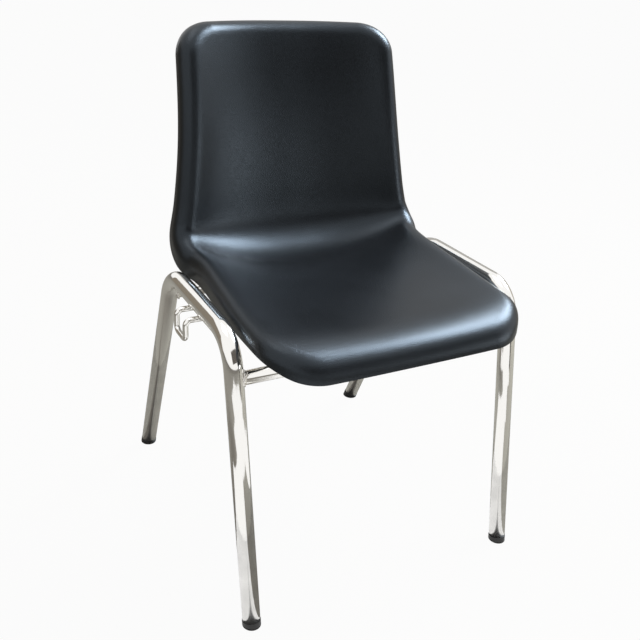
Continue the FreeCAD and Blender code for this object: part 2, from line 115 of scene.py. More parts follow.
# Softening of the crease: rounds, outer rows and columns that stay put, cells over which it
# fades in, and the share of the change taken along and over the rows
SOFTEN_ROUNDS = 14
SOFTEN_KEPT_ROWS = 34
SOFTEN_ROW_FADE = 10
SOFTEN_KEPT_COLUMNS = 14
SOFTEN_COLUMN_FADE = 6
SOFTEN_ALONG = 0.5
SOFTEN_OVER = 0.3

# How far behind the front edge the seat starts to turn down, and how far it drops there
FRONT_EASE_LENGTH = 0.062
FRONT_EASE_DROP = 0.0135

# Rounding of the front lip: rounds, share of the change, first and last row, and their fades
LIP_ROUNDS = 22
LIP_SHARE = 0.5
LIP_FIRST_ROW = 4
LIP_FADE_IN = 10
LIP_LAST_ROW = 62
LIP_FADE_OUT = 12

# Sizes of the bosses under the shell, of their ribs, and of the tabs that they stand on

BOSS_RADIUS = 0.010
BOSS_HALF_SPAN = 0.095
BOSS_EDGE_ROUND = 0.0008
BOSS_HALF_STEPS = 24
RIB_COUNT = 4
RIB_THICKNESS = 0.003
RIB_SHARE = 0.8
TAB_LENGTH = 0.040
TAB_THICKNESS = 0.004

# Sizes of the weld beads, and how far their middle stands off the tube

WELD_RADIUS = 0.0016
WELD_STANDOFF = 0.0006
SADDLE_STEPS = 72
SADDLE_SIDES = 14
SADDLE_RIPPLE = 0.00035
SADDLE_FINE_RIPPLE = 0.0002
HOOK_WELD_STEPS = 12
HOOK_WELD_SIDES = 12
HOOK_WELD_START = 0.007
HOOK_WELD_LENGTH = 0.012
HOOK_WELD_RADIUS = WELD_RADIUS * 0.85
HOOK_WELD_WAVE = 0.0004
HOOK_WELD_OFFSET = 0.0026
HOOK_WELD_DROP = 0.0012


# Mesh helpers

def add_mesh(name, vertices, faces, material, nodes=()):
    mesh = bpy.data.meshes.new(name)
    mesh.from_pydata([tuple(vertex) for vertex in vertices], [], faces)
    mesh.validate()
    for polygon in mesh.polygons:
        polygon.use_smooth = True
    obj = bpy.data.objects.new(name, mesh)
    bpy.context.scene.collection.objects.link(obj)
    mesh.materials.append(material)
    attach(obj, "root")
    if nodes:
        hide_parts(*nodes)
    return obj


def bent_points(corners, radii, arc_steps):
    """Points along straight runs joined by tangent arcs."""
    points = [corners[0]]
    for before, corner, after, radius in zip(corners, corners[1:], corners[2:], radii):
        toward = (corner - before).normalized()
        away = (after - corner).normalized()
        turn = toward.angle(away)
        setback = radius * math.tan(turn / 2)
        centre = corner + (away - toward).normalized() * (radius / math.cos(turn / 2))
        axis = toward.cross(away).normalized()
        start = corner - toward * setback - centre
        for step in range(arc_steps + 1):
            points.append(centre + Matrix.Rotation(turn * step / arc_steps, 3, axis) @ start)
    points.append(corners[-1])
    return points


def tube_mesh(points, radius, sides):
    """Vertices and faces of a round tube along the points, with flat ends."""
    vertices = []
    faces = []
    tangents = []
    for index, point in enumerate(points):
        before = points[max(index - 1, 0)]
        after = points[min(index + 1, len(points) - 1)]
        tangents.append((after - before).normalized())
    across = tangents[0].orthogonal().normalized()
    for point, tangent in zip(points, tangents):
        across = (across - tangent * across.dot(tangent)).normalized()
        over = tangent.cross(across)
        for side in range(sides):
            angle = 2 * math.pi * side / sides
            vertices.append(point + (across * math.cos(angle) + over * math.sin(angle)) * radius)
    for ring in range(len(points) - 1):
        for side in range(sides):
            near = ring * sides
            far = near + sides
            follow = (side + 1) % sides
            faces.append((near + side, near + follow, far + follow, far + side))
    faces.append(tuple(reversed(range(sides))))
    faces.append(tuple(range(len(vertices) - sides, len(vertices))))
    return vertices, faces


# Materials

def node_material(name):
    material = bpy.data.materials.new(name)
    material.use_nodes = True
    nodes = material.node_tree.nodes
    return material, nodes, material.node_tree.links, nodes["Principled BSDF"]


def chrome_material():
    """Bright plating over drawn tube, with a slight warm tint and a faint haze."""
    material, nodes, links, shader = node_material("chrome_plating")
    shader.inputs["Base Color"].default_value = (0.93, 0.915, 0.885, 1)
    shader.inputs["Metallic"].default_value = 1.0
    place = nodes.new("ShaderNodeTexCoord")
    haze = nodes.new("ShaderNodeTexNoise")
    haze.inputs["Scale"].default_value = 45.0
    haze.inputs["Detail"].default_value = 4.0
    spread = nodes.new("ShaderNodeMapRange")
    spread.inputs["To Min"].default_value = 0.05
    spread.inputs["To Max"].default_value = 0.14
    bump = nodes.new("ShaderNodeBump")
    bump.inputs["Strength"].default_value = 0.06
    bump.inputs["Distance"].default_value = 0.002
    links.new(place.outputs["Object"], haze.inputs["Vector"])
    links.new(haze.outputs["Fac"], spread.inputs["Value"])
    links.new(spread.outputs["Result"], shader.inputs["Roughness"])
    links.new(haze.outputs["Fac"], bump.inputs["Height"])
    links.new(bump.outputs["Normal"], shader.inputs["Normal"])
    return material


def weld_material():
    """Plating over a rippled weld: the same metal, rougher and a little darker."""
    material, nodes, links, shader = node_material("plated_weld")
    shader.inputs["Base Color"].default_value = (0.80, 0.775, 0.73, 1)
    shader.inputs["Metallic"].default_value = 1.0
    shader.inputs["Roughness"].default_value = 0.24
    place = nodes.new("ShaderNodeTexCoord")
    ripple = nodes.new("ShaderNodeTexNoise")
    ripple.inputs["Scale"].default_value = 700.0
    bump = nodes.new("ShaderNodeBump")
    bump.inputs["Strength"].default_value = 0.5
    bump.inputs["Distance"].default_value = 0.0008
    links.new(place.outputs["Object"], ripple.inputs["Vector"])
    links.new(ripple.outputs["Fac"], bump.inputs["Height"])
    links.new(bump.outputs["Normal"], shader.inputs["Normal"])
    return material


def shell_material():
    """Black moulded plastic with a fine leather grain and a satin surface."""
    material, nodes, links, shader = node_material("leather_grained_plastic")
    shader.inputs["Specular IOR Level"].default_value = 0.5
    shader.inputs["Specular Tint"].default_value = (0.74, 0.87, 1.0, 1)
    place = nodes.new("ShaderNodeTexCoord")
    grain = nodes.new("ShaderNodeTexVoronoi")
    grain.feature = "DISTANCE_TO_EDGE"
    grain.inputs["Scale"].default_value = 420.0
    fine = nodes.new("ShaderNodeTexNoise")
    fine.inputs["Scale"].default_value = 900.0
    fine.inputs["Detail"].default_value = 3.0
    cloud = nodes.new("ShaderNodeTexNoise")
    cloud.inputs["Scale"].default_value = 9.0
    cloud.inputs["Detail"].default_value = 5.0
    tone = nodes.new("ShaderNodeValToRGB")
    tone.color_ramp.elements[0].color = (0.0045, 0.0048, 0.0055, 1)
    tone.color_ramp.elements[1].color = (0.0085, 0.0092, 0.0105, 1)
    tone.color_ramp.elements[0].position = 0.3
    tone.color_ramp.elements[1].position = 0.7
    spread = nodes.new("ShaderNodeMapRange")
    spread.inputs["To Min"].default_value = 0.27
    spread.inputs["To Max"].default_value = 0.35
    height = nodes.new("ShaderNodeMath")
    height.operation = "MULTIPLY_ADD"
    height.inputs[1].default_value = 0.35
    bump = nodes.new("ShaderNodeBump")
    bump.inputs["Strength"].default_value = 0.42
    bump.inputs["Distance"].default_value = 0.0006
    for texture in (grain, fine, cloud):
        links.new(place.outputs["Object"], texture.inputs["Vector"])
    links.new(cloud.outputs["Fac"], tone.inputs["Fac"])
    links.new(tone.outputs["Color"], shader.inputs["Base Color"])
    links.new(cloud.outputs["Fac"], spread.inputs["Value"])
    links.new(spread.outputs["Result"], shader.inputs["Roughness"])
    links.new(fine.outputs["Fac"], height.inputs[0])
    links.new(grain.outputs["Distance"], height.inputs[2])
    links.new(height.outputs["Value"], bump.inputs["Height"])
    links.new(bump.outputs["Normal"], shader.inputs["Normal"])
    return material


def mottled_material(name, scale, low, high, metallic, roughness):
    """A plain surface whose tone wanders between two colours."""
    material, nodes, links, shader = node_material(name)
    place = nodes.new("ShaderNodeTexCoord")
    mottle = nodes.new("ShaderNodeTexNoise")
    mottle.inputs["Scale"].default_value = scale
    tone = nodes.new("ShaderNodeValToRGB")
    tone.color_ramp.elements[0].color = low
    tone.color_ramp.elements[1].color = high
    links.new(place.outputs["Object"], mottle.inputs["Vector"])
    links.new(mottle.outputs["Fac"], tone.inputs["Fac"])
    links.new(tone.outputs["Color"], shader.inputs["Base Color"])
    shader.inputs["Metallic"].default_value = metallic
    shader.inputs["Roughness"].default_value = roughness
    return material


CHROME = chrome_material()
WELD = weld_material()
SHELL = shell_material()
NYLON = mottled_material("black_nylon", 260.0, (0.012, 0.012, 0.013, 1), (0.035, 0.034, 0.033, 1), 0.0, 0.5)
ZINC = mottled_material("zinc_plate", 320.0, (0.50, 0.50, 0.48, 1), (0.66, 0.66, 0.62, 1), 1.0, 0.35)
BRASS = mottled_material("brass", 320.0, (0.60, 0.45, 0.20, 1), (0.72, 0.56, 0.28, 1), 1.0, 0.3)

SLOT_MATERIALS = {"shell": SHELL, "chrome_tube": CHROME, "zinc_hardware": ZINC,
                  "brass_insert": BRASS, "glide": NYLON}
for entry in frame["record"]["subparts"]:
    node = frame["nodes"][entry["node"]]
    for place in node.material_slots:
        place.material = SLOT_MATERIALS[entry["material_slot"]]


# Tube frame

def side_point(side, y, z):
    """A point of a side frame's middle plane, which leans in towards the feet."""
    lean = (RAIL_HALF_SPAN - FOOT_HALF_SPAN) / RAIL_HEIGHT
    return Vector((side * (RAIL_HALF_SPAN - lean * (RAIL_HEIGHT - z)), y, z))


def leg_y(bend_y, foot_y, z):
    """Depth of a leg's middle line at a height."""
    return bend_y + (foot_y - bend_y) * (RAIL_HEIGHT - z) / RAIL_HEIGHT


def side_frame(side, name):
    base = GLIDE_BASE_HEIGHT
    corners = [side_point(side, leg_y(REAR_BEND_Y, REAR_FOOT_Y, base), base),
               side_point(side, REAR_BEND_Y, RAIL_HEIGHT),
               side_point(side, FRONT_BEND_Y, RAIL_HEIGHT),
               side_point(side, leg_y(FRONT_BEND_Y, FRONT_FOOT_Y, base), base)]
    points = bent_points(corners, [REAR_BEND_RADIUS, FRONT_BEND_RADIUS], FRAME_ARC_STEPS)
    vertices, faces = tube_mesh(points, TUBE_RADIUS, FRAME_SIDES)
    add_mesh(name + "_frame_tube", vertices, faces, CHROME, [name + "_side_frame"])


def cross_tube(name, y, z):
    reach = RAIL_HALF_SPAN - TUBE_RADIUS / 2
    points = [Vector((-reach, y, z)), Vector((reach, y, z))]
    vertices, faces = tube_mesh(points, CROSS_RADIUS, CROSS_SIDES)
    add_mesh(name + "_cross_bar", vertices, faces, CHROME, [name + "_cross_tube"])


def ganging_hook():
    z = RAIL_HEIGHT - TUBE_RADIUS - HOOK_ROD_RADIUS
    start = -RAIL_HALF_SPAN + TUBE_RADIUS / 2
    outer = -RAIL_HALF_SPAN - HOOK_REACH
    front = HOOK_REAR_ARM_Y - HOOK_ARM_SPACING
    corners = [Vector((start, HOOK_REAR_ARM_Y, z)), Vector((outer, HOOK_REAR_ARM_Y, z)),
               Vector((outer, HOOK_REAR_ARM_Y, z - HOOK_DROP)), Vector((outer, front, z - HOOK_DROP)),
               Vector((outer, front, z)), Vector((start, front, z))]
    points = bent_points(corners, [HOOK_BEND_RADIUS] * (len(corners) - 2), HOOK_ARC_STEPS)
    vertices, faces = tube_mesh(points, HOOK_ROD_RADIUS, HOOK_SIDES)
    add_mesh("ganging_hook_rod", vertices, faces, CHROME, ["ganging_hook"])


side_frame(-1, "right")
side_frame(1, "left")
cross_tube("front", leg_y(FRONT_BEND_Y, FRONT_FOOT_Y, FRONT_CROSS_HEIGHT), FRONT_CROSS_HEIGHT)
cross_tube("rear", leg_y(REAR_BEND_Y, REAR_FOOT_Y, REAR_CROSS_HEIGHT), REAR_CROSS_HEIGHT)
ganging_hook()


# Moulded shell: a dished sheet with its whole rim rolled over and its four corners rounded

def station_value(share, values):
    """Cubic blend of the values at the shell's stations, flat at both ends."""
    slopes = [0.0]
    for index in range(1, len(values) - 1):
        slopes.append((values[index + 1] - values[index - 1])
                      / (SHELL_SHARES[index + 1] - SHELL_SHARES[index - 1]))
    slopes.append(0.0)
    index = 0
    while index < len(values) - 2 and share > SHELL_SHARES[index + 1]:
        index += 1
    span = SHELL_SHARES[index + 1] - SHELL_SHARES[index]
    part = (share - SHELL_SHARES[index]) / span
    return ((2 * part ** 3 - 3 * part ** 2 + 1) * values[index]
            + (part ** 3 - 2 * part ** 2 + part) * span * slopes[index]
            + (3 * part ** 2 - 2 * part ** 3) * values[index + 1]
            + (part ** 3 - part ** 2) * span * slopes[index + 1])


QUARTER = math.pi / 2
TINY = 1e-9


def middle_runs():
    """The middle line between the front and top rolls: lengths and turns of its three runs."""
    seat_length = BACK_FOOT_Y - SEAT_FRONT_Y - RIM_RADIUS - CREASE_RADIUS
    crease_rise = CREASE_RADIUS * (math.cos(SEAT_SLOPE) - math.sin(BACK_RECLINE))
    crease_rise -= seat_length * math.sin(SEAT_SLOPE)
    top_rise = RIM_RADIUS * (1 - math.sin(BACK_RECLINE + BACK_FLARE))
    crease_turn = QUARTER - BACK_RECLINE + SEAT_SLOPE
    return [
        (seat_length, 0.0),
        (CREASE_RADIUS * crease_turn, crease_turn),
        ((BACK_RISE - crease_rise - top_rise) / math.cos(BACK_RECLINE + BACK_FLARE / 2), -BACK_FLARE),
    ]


MIDDLE_RUNS = middle_runs()
FRONT_START = FRONT_SKIRT + RIM_RADIUS * (QUARTER + SEAT_SLOPE)
TOP_START = FRONT_START + sum(length for length, turn in MIDDLE_RUNS)
SHELL_LENGTH = TOP_START + RIM_RADIUS * QUARTER + TOP_SKIRT


def middle_line(distance):
    """Depth, height and heading of the middle line, at a distance from the shell's front edge."""
    y = SEAT_FRONT_Y + RIM_RADIUS
    z = SEAT_HEIGHT
    heading = -SEAT_SLOPE
    rest = distance - FRONT_START
    for length, turn in MIDDLE_RUNS:
        step = min(rest, length)
        bend = turn * step / length
        if abs(bend) < TINY:
            y += step * math.cos(heading)
            z += step * math.sin(heading)
        else:
            radius = step / bend
            y += radius * (math.sin(heading + bend) - math.sin(heading))
            z -= radius * (math.cos(heading + bend) - math.cos(heading))
        heading += bend
        rest -= step
        if rest <= 0:
            break
    return y, z, heading


def dished_point(distance, across):
    """A point inside the rolls. The raised sides stand up on the seat and forward on the back."""
    share = distance / SHELL_LENGTH
    y, z, heading = middle_line(distance)
    part = abs(across) / station_value(share, HALF_WIDTHS)
    lift = station_value(share, SIDE_RISES) * part ** RISE_POWER
    crease_part = (distance - FRONT_START - MIDDLE_RUNS[0][0]) / MIDDLE_RUNS[1][0]
    dish = QUARTER * min(max(crease_part, 0.0), 1.0)
    return Vector((across, y - lift * math.sin(dish), z + lift * math.cos(dish))), heading


def rim_foot(distance, across):
    """The nearest place where the roll starts, as (distance, across), how far the point is past
    it, and the shares of the way out that run along the shell and across it."""
    for radius, inset, outward in ((FRONT_CORNER_RADIUS, distance - FRONT_START, -1),
                                   (TOP_CORNER_RADIUS, TOP_START - distance, 1)):
        edge = distance + outward * inset
        centre = edge - outward * radius
        if inset < radius:
            width = station_value(min(max(distance, FRONT_START), TOP_START) / SHELL_LENGTH, HALF_WIDTHS)
            centre_across = width - radius
            if across > centre_across:
                along = radius - inset
                over = across - centre_across
                length = math.hypot(along, over)
                foot = centre + outward * radius * along / length
                foot_across = centre_across + radius * over / length
                return foot, foot_across, length - radius, outward * along / length, over / length
            if inset < 0 and inset <= width - across:
                return edge, across, -inset, outward, 0.0
    width = station_value(distance / SHELL_LENGTH, HALF_WIDTHS)
    return distance, width, across - width, 0.0, 1.0


def roll_tilt(distance, along, over):
    """How far the sheet points above level where the roll starts."""
    share = distance / SHELL_LENGTH
    side = math.atan(RISE_POWER * station_value(share, SIDE_RISES) / station_value(share, HALF_WIDTHS))
    return side * over ** 2 + (SEAT_SLOPE if along < 0 else 0.0) * along ** 2


def rim_skirt(distance, along, over):
    """Length of the straight skirt below the roll."""
    side = station_value(distance / SHELL_LENGTH, SIDE_SKIRTS)
    end = FRONT_SKIRT if along < 0 else TOP_SKIRT
    return side * over ** 2 + end * along ** 2


def shell_point(distance, across):
    """A point of the upper face, on the sitter's left half."""
    foot, foot_across, beyond, along, over = rim_foot(distance, across)
    if beyond <= 0:
        return dished_point(distance, across)[0]
    tilt = roll_tilt(foot, along, over)
    place, heading = dished_point(foot, foot_across)
    angle = min(beyond / RIM_RADIUS - tilt, QUARTER)
    straight = beyond - RIM_RADIUS * (angle + tilt)
    out = RIM_RADIUS * (math.sin(angle) + math.sin(tilt))
    down = RIM_RADIUS * (math.cos(tilt) - math.cos(angle)) + straight
    return Vector((place.x + out * over,
                   place.y + out * along * math.cos(heading) + down * math.sin(heading),
                   place.z + out * along * math.sin(heading) - down * math.cos(heading)))


def half_outline(distance):
    """Half of the unrolled sheet's width, found where the roll and its skirt end."""
    low = 0.0
    high = 2 * RAIL_HALF_SPAN
    for _ in range(OUTLINE_HALVINGS):
        middle = (low + high) / 2
        foot, foot_across, beyond, along, over = rim_foot(distance, middle)
        if beyond < RIM_RADIUS * (QUARTER + roll_tilt(foot, along, over)) + rim_skirt(foot, along, over):
            low = middle
        else:
            high = middle
    return low


def roll_start(distance):
    """Half width of the row's part that lies inside the roll, or inside its corner."""
    inside = station_value(min(max(distance, FRONT_START), TOP_START) / SHELL_LENGTH, HALF_WIDTHS)
    for radius, inset in ((FRONT_CORNER_RADIUS, distance - FRONT_START),
                          (TOP_CORNER_RADIUS, TOP_START - distance)):
        if inset < radius:
            inside += math.sqrt(radius ** 2 - (radius - max(inset, 0.0)) ** 2) - radius
    return inside


def shell_rows():
    """Distances of the rows: even steps of angle in the corners, even steps between them."""
    front = FRONT_START + FRONT_CORNER_RADIUS
    top = SHELL_LENGTH - TOP_START + TOP_CORNER_RADIUS
    rows = []
    for index in range(END_ROWS):
        rows.append(front * (1 - math.cos(QUARTER * index / END_ROWS)))
    for index in range(MIDDLE_ROWS + 1):
        rows.append(front + (SHELL_LENGTH - front - top) * index / MIDDLE_ROWS)
    for index in range(END_ROWS - 1, -1, -1):
        rows.append(SHELL_LENGTH - top * (1 - math.cos(QUARTER * index / END_ROWS)))
    margin = 0.00001
    return [min(max(row, margin), SHELL_LENGTH - margin) for row in rows]


def inner_weight(count, kept, fade):
    """Weights that are 0 at the kept cells of both ends and fade in to 1 between them."""
    cells = numpy.arange(count)
    return numpy.clip((numpy.minimum(cells, cells[::-1]) - kept) / fade, 0, 1)


def soften(grid):
    """Even out the changes of curvature inside the sheet. Its outer rows and columns stay put."""
    rows, columns = grid.shape[:2]
    row_weight = inner_weight(rows, SOFTEN_KEPT_ROWS, SOFTEN_ROW_FADE)
    column_weight = inner_weight(columns, SOFTEN_KEPT_COLUMNS, SOFTEN_COLUMN_FADE)
    weight = (row_weight[:, None] * column_weight[None, :])[1:-1, 1:-1, None]
    for _ in range(SOFTEN_ROUNDS):
        inner = grid[1:-1, 1:-1]
        along = (grid[2:, 1:-1] + grid[:-2, 1:-1]) / 2
        over = (grid[1:-1, 2:] + grid[1:-1, :-2]) / 2
        grid[1:-1, 1:-1] = inner + weight * ((along - inner) * SOFTEN_ALONG + (over - inner) * SOFTEN_OVER)


def ease_front(grid):
    """Turn the seat down before its front roll and round the lip. The outer reach stays."""
    corner = FRONT_CORNER_RADIUS + RIM_RADIUS
    across = numpy.maximum(abs(grid[..., 0]) - HALF_WIDTHS[0] + FRONT_CORNER_RADIUS, 0)
    along = numpy.maximum(SEAT_FRONT_Y + corner - grid[..., 1], 0)
    reach = numpy.hypot(across, along) + TINY
    share = numpy.clip((reach - corner + FRONT_EASE_LENGTH) / FRONT_EASE_LENGTH, 0, 1)
    high = numpy.clip((grid[..., 2] - SEAT_HEIGHT + FRONT_SKIRT + RIM_RADIUS) / RIM_RADIUS, 0, 1)
    grid[..., 2] -= FRONT_EASE_DROP * share ** 2 * (along / reach) ** 2 * high
    rows = numpy.arange(1, len(grid) - 1)
    fade = numpy.minimum((rows - LIP_FIRST_ROW) / LIP_FADE_IN, (LIP_LAST_ROW - rows) / LIP_FADE_OUT)
    weight = LIP_SHARE * numpy.clip(fade, 0, 1)[:, None, None]
    for _ in range(LIP_ROUNDS):
        grid[1:-1] += weight * ((grid[2:] + grid[:-2]) / 2 - grid[1:-1])


def moulded_shell():
    half_columns = FLAT_COLUMNS + ROLL_COLUMNS
    columns = 2 * half_columns
    grid = []
    faces = []
    rows = shell_rows()
    for distance in rows:
        start = roll_start(distance)
        end = max(half_outline(distance), start)
        half_row = []
        for column in range(half_columns + 1):
            if column <= FLAT_COLUMNS:
                across = start * column / FLAT_COLUMNS
            else:
                across = start + (end - start) * (column - FLAT_COLUMNS) / ROLL_COLUMNS
            half_row.append(tuple(shell_point(distance, across)))
        grid.append([(-x, y, z) for x, y, z in reversed(half_row[1:])] + half_row)
    grid = numpy.array(grid)
    soften(grid)
    ease_front(grid)
    for row in range(len(rows) - 1):
        for column in range(columns):
            corner = row * (columns + 1) + column
            faces.append((corner, corner + 1, corner + columns + 2, corner + columns + 1))
    shell = add_mesh("moulded_shell", grid.reshape(-1, 3), faces, SHELL, ["seat_shell"])
    wall = shell.modifiers.new("wall", "SOLIDIFY")
    wall.thickness = SHELL_WALL
    wall.offset = -1.0
    edge = shell.modifiers.new("edge", "BEVEL")
    edge.width = RIM_EDGE_ROUND
    edge.segments = 3
    edge.limit_method = "ANGLE"
    edge.angle_limit = math.radians(50)


def shell_underside(x, y):
    """Height of the underside of the seat over a place behind the eased lip."""
    low = FRONT_START
    high = FRONT_START + MIDDLE_RUNS[0][0] + MIDDLE_RUNS[1][0] / 2
    for _ in range(UNDERSIDE_HALVINGS):
        middle = (low + high) / 2
        if shell_point(middle, abs(x)).y < y:
            low = middle
        else:
            high = middle
    return shell_point(low, abs(x)).z - SHELL_WALL


def rounded_prism(outline, height, edge, base):
    """A prism over the outline with its lower rim softened."""
    prism = bmesh.new()
    lower = [prism.verts.new((x, y, 0.0)) for x, y in outline]
    face = prism.faces.new(lower)
    raised = bmesh.ops.extrude_face_region(prism, geom=[face])
    for item in raised["geom"]:
        if isinstance(item, bmesh.types.BMVert):
            item.co.z += height
    bmesh.ops.recalc_face_normals(prism, faces=prism.faces)
    rim = [item for item in prism.edges if max(vertex.co.z for vertex in item.verts) < height / 2]
    bmesh.ops.bevel(prism, geom=rim, offset=edge, segments=3, affect="EDGES", profile=0.5)
    prism.verts.index_update()
    vertices = [Vector(base) + vertex.co for vertex in prism.verts]
    faces = [tuple(vertex.index for vertex in item.verts) for item in prism.faces]
    prism.free()
    return vertices, faces


def boss(side, y, tab_top, name):
    """A round boss with four ribs that run out along the underside of the seat."""
    x = side * BOSS_HALF_SPAN
    height = shell_underside(x, y) + SHELL_WALL / 2 - tab_top
    angles = [math.pi * step / BOSS_HALF_STEPS for step in range(2 * BOSS_HALF_STEPS)]
    ring = [(BOSS_RADIUS * math.cos(angle), BOSS_RADIUS * math.sin(angle)) for angle in angles]
    vertices, faces = rounded_prism(ring, height, BOSS_EDGE_ROUND, (x, y, tab_top))
    half = RIB_THICKNESS / 2
    for turn in range(RIB_COUNT):
        heading = 2 * math.pi * turn / RIB_COUNT
        out = Vector((math.cos(heading), math.sin(heading), 0))
        over = Vector((-out.y, out.x, 0))
        top = Vector((x, y, tab_top + height))
        start = len(vertices)
        for offset in (-half, half):
            vertices.append(top + over * offset)
            vertices.append(top + over * offset + out * 2 * BOSS_RADIUS)
            vertices.append(top + over * offset - Vector((0, 0, height * RIB_SHARE)))
        faces.append((start, start + 1, start + 2))
        faces.append((start + 5, start + 4, start + 3))
        faces.append((start + 1, start + 4, start + 5, start + 2))
    add_mesh("boss_" + name, vertices, faces, SHELL)


def saddle_weld(name, side, leg_x, y, z):
    """A bead round the end of a cross tube, on the curve where it meets the leg."""
    points = []
    for step in range(SADDLE_STEPS + 1):
        angle = 2 * math.pi * (step % SADDLE_STEPS) / SADDLE_STEPS
        ripple = SADDLE_RIPPLE * math.sin(9 * angle) + SADDLE_FINE_RIPPLE * math.sin(17 * angle + side)
        radius = CROSS_RADIUS + WELD_STANDOFF + ripple
        back = math.sqrt(TUBE_RADIUS ** 2 - (CROSS_RADIUS * math.cos(angle)) ** 2)
        points.append(Vector((side * (leg_x - back - WELD_STANDOFF), y + radius * math.cos(angle),
                              z + radius * math.sin(angle))))
    vertices, faces = tube_mesh(points, WELD_RADIUS, SADDLE_SIDES)
    add_mesh("weld_" + name, vertices, faces, WELD)


def hook_weld(name, y):
    """Short runs of weld on both sides of a hook's arm, under the rail."""
    z = RAIL_HEIGHT - TUBE_RADIUS - WELD_STANDOFF
    start = -RAIL_HALF_SPAN - HOOK_WELD_START
    points = []
    for step in range(HOOK_WELD_STEPS + 1):
        part = step / HOOK_WELD_STEPS
        points.append(Vector((start + HOOK_WELD_LENGTH * part, y + HOOK_WELD_WAVE * math.sin(14 * part), z)))
    for edge, edge_name in ((-1, "front"), (1, "rear")):
        shifted = [point + Vector((0, edge * HOOK_WELD_OFFSET, -HOOK_WELD_DROP)) for point in points]
        vertices, faces = tube_mesh(shifted, HOOK_WELD_RADIUS, HOOK_WELD_SIDES)
        add_mesh("weld_" + name + "_" + edge_name, vertices, faces, WELD)


moulded_shell()
for row_name, bend_y, foot_y, height, toward in (
        ("front", FRONT_BEND_Y, FRONT_FOOT_Y, FRONT_CROSS_HEIGHT, 1),
        ("rear", REAR_BEND_Y, REAR_FOOT_Y, REAR_CROSS_HEIGHT, -1)):
    cross_y = leg_y(bend_y, foot_y, height)
    for side, side_name in ((-1, "right"), (1, "left")):
        place_name = row_name + "_" + side_name
        leg_x = abs(side_point(side, cross_y, height).x)
        boss(side, cross_y + toward * TAB_LENGTH / 2, height + CROSS_RADIUS + TAB_THICKNESS, place_name)
        saddle_weld(place_name, side, leg_x, cross_y, height)
hook_weld("hook_rear_arm", HOOK_REAR_ARM_Y)
hook_weld("hook_front_arm", HOOK_REAR_ARM_Y - HOOK_ARM_SPACING)


# Stage: floor, camera, lamps and background, and glowing cards and sheets of painted reflection

# Shares of plain white in what the camera and the mirror finish see of the floor
FLOOR_GLOW = 0.96
FLOOR_MIRRORED_GLOW = 0.05
FLOOR_HALF_SIZE = 30.0

# How far over the floor the sheets of painted reflection lie
SHEET_HEIGHT = 0.002


def background():
    """White for what the camera and the mirror finish see, and a softer light for the rest."""
    world = bpy.data.worlds.new("studio")
    bpy.context.scene.world = world
    world.use_nodes = True
    nodes = world.node_tree.nodes
    links = world.node_tree.links
    nodes.clear()
    path = nodes.new("ShaderNodeLightPath")
    seen = nodes.new("ShaderNodeMath")
    seen.operation = "MAXIMUM"
    seen_through = nodes.new("ShaderNodeMath")
    seen_through.operation = "MAXIMUM"
    links.new(path.outputs["Is Camera Ray"], seen.inputs[0])
    links.new(path.outputs["Is Glossy Ray"], seen.inputs[1])
    links.new(seen.outputs["Value"], seen_through.inputs[0])
    links.new(path.outputs["Is Transmission Ray"], seen_through.inputs[1])
    white = nodes.new("ShaderNodeBackground")
    white.inputs["Color"].default_value = (1, 1, 1, 1)
    white.inputs["Strength"].default_value = 1.0
    room = nodes.new("ShaderNodeBackground")
    room.inputs["Color"].default_value = (0.94, 0.96, 1.0, 1)
    room.inputs["Strength"].default_value = 0.5
    mix = nodes.new("ShaderNodeMixShader")
    output = nodes.new("ShaderNodeOutputWorld")
    links.new(seen_through.outputs["Value"], mix.inputs["Fac"])
    links.new(room.outputs["Background"], mix.inputs[1])
    links.new(white.outputs["Background"], mix.inputs[2])
    links.new(mix.outputs["Shader"], output.inputs["Surface"])


def floor_material():
    """Pale floor. The camera sees it so close to white that the chair's shadow can't be made out."""
    material, nodes, links, shader = node_material("pale_floor")
    shader.inputs["Base Color"].default_value = (0.28, 0.25, 0.205, 1)
    shader.inputs["Roughness"].default_value = 0.9
    shader.inputs["Specular IOR Level"].default_value = 0.0
    path = nodes.new("ShaderNodeLightPath")
    glow = nodes.new("ShaderNodeEmission")
    glow.inputs["Strength"].default_value = 1.0
    mirrored = nodes.new("ShaderNodeMath")
    mirrored.operation = "MULTIPLY"
    mirrored.inputs[1].default_value = FLOOR_MIRRORED_GLOW
    share = nodes.new("ShaderNodeMath")
    share.operation = "MULTIPLY_ADD"
    share.inputs[1].default_value = FLOOR_GLOW
    mix = nodes.new("ShaderNodeMixShader")
    links.new(path.outputs["Is Glossy Ray"], mirrored.inputs[0])
    links.new(path.outputs["Is Camera Ray"], share.inputs[0])
    links.new(mirrored.outputs["Value"], share.inputs[2])
    links.new(share.outputs["Value"], mix.inputs["Fac"])
    links.new(shader.outputs["BSDF"], mix.inputs[1])
    links.new(glow.outputs["Emission"], mix.inputs[2])
    links.new(mix.outputs["Shader"], nodes["Material Output"].inputs["Surface"])
    return material


def rectangle(low, high, z):
    return [(low[0], low[1], z), (high[0], low[1], z), (high[0], high[1], z), (low[0], high[1], z)]


def floor():
    low = (-FLOOR_HALF_SIZE, -FLOOR_HALF_SIZE)
    high = (FLOOR_HALF_SIZE, FLOOR_HALF_SIZE)
    mesh = bpy.data.meshes.new("floor")
    mesh.from_pydata(rectangle(low, high, 0), [], [(0, 1, 2, 3)])
    mesh.materials.append(floor_material())
    plane = bpy.data.objects.new("floor", mesh)
    bpy.context.scene.collection.objects.link(plane)


